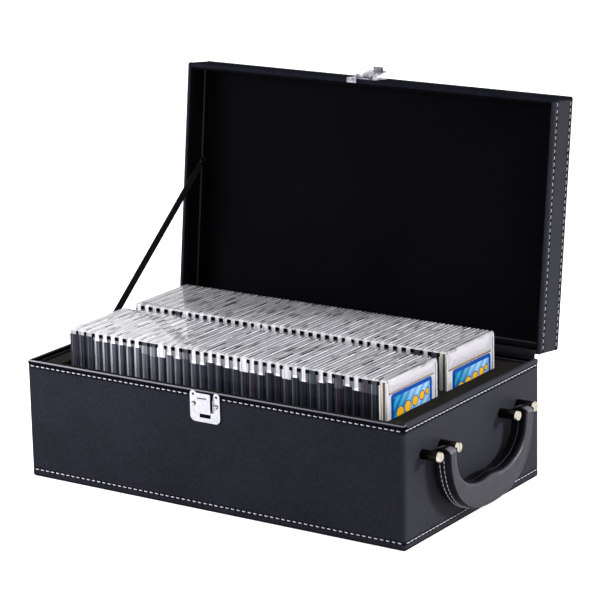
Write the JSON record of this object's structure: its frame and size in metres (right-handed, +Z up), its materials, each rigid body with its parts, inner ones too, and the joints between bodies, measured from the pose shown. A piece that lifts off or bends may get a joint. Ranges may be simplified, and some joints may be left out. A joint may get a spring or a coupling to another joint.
{
  "type": "graded card storage case",
  "caption": "Black leatherette storage case with two rows of graded card slabs, a hinged lid standing open on a stay strap, a latch with a hasp lever and a padded swing handle.",
  "frame": {"origin": "centre of the base's underside, on the surface that the case stands on", "axes": "+X along the length towards the handle end, +Y from the latch side to the hinge side, +Z up"},
  "size_m": [0.4203, 0.299, 0.3485],
  "materials": {
    "leatherette": "fine-grained black leatherette, satin",
    "board": "bare grey board",
    "felt": "black felt",
    "lining": "matt black lining cloth",
    "foam": "black EVA foam, matt",
    "slab": "clear polystyrene, glossy",
    "card": null,
    "label": "blank paper label",
    "nickel": "bright nickel plate",
    "bronze": "dark bronze plate, glossy",
    "steel": "zinc-plated steel",
    "webbing": "flat black webbing"
  },
  "bodies": {
    "base": {"bottom_sheet": "leatherette", "floor_board": "board", "front_board": "board", "back_board": "board", "left_board": "board", "right_board": "board", "base_wrap": "leatherette", "floor_felt": "felt", "lining_collar": "felt", "foam_insert": "foam", "slab_row_front": "slab", "slab_row_back": "slab", "end_slab_front": "slab", "end_slab_back": "slab", "end_card_front": "card", "end_card_back": "card", "end_label_front": "label", "end_label_back": "label", "latch_plate": "nickel", "latch_rivet_left": "nickel", "latch_rivet_right": "nickel", "handle_post_1": "bronze", "handle_post_2": "bronze", "handle_post_3": "bronze", "handle_post_4": "bronze", "handle_screw_1": "nickel", "handle_screw_2": "nickel", "handle_screw_3": "nickel", "handle_screw_4": "nickel", "handle_nut_1": "steel", "handle_nut_2": "steel", "handle_nut_3": "steel", "handle_nut_4": "steel", "handle_pin_front": "steel", "handle_pin_back": "steel", "hinge_left_base_leaf": "steel", "hinge_right_base_leaf": "steel", "hinge_left_pin": "steel", "hinge_right_pin": "steel", "stay_strap": "webbing"},
    "lid": {"lid_top_board": "board", "lid_front_board": "board", "lid_back_board": "board", "lid_left_board": "board", "lid_right_board": "board", "lid_wrap": "leatherette", "lid_lining": "lining", "hinge_left_lid_leaf": "steel", "hinge_right_lid_leaf": "steel", "hasp_plate": "nickel", "hasp_pin": "nickel", "hasp_rivet_left": "nickel", "hasp_rivet_right": "nickel", "strap_tack": "nickel"},
    "lever": {"hasp_lever": "nickel"},
    "handle": {"handle_core": "steel", "handle_wrap": "leatherette"}
  },
  "joints": [
    {"name": "lid_hinge", "type": "hinge", "parent": "base", "child": "lid", "pos_m": [0, 0.1174, 0.11055], "axis": [-1, 0, 0], "range_deg": [-96.8, 0], "deforming": ["stay_strap"]},
    {"name": "hasp_hinge", "type": "hinge", "parent": "lid", "child": "lever", "pos_m": [-0.002, 0.14919, 0.34383], "axis": [-1, 0, 0], "range_deg": [-168, 0]},
    {"name": "handle_swing", "type": "hinge", "parent": "base", "child": "handle", "pos_m": [0.2113, -0.0007, 0.076], "axis": [0, -1, 0], "range_deg": [0, 180]}
  ]
}
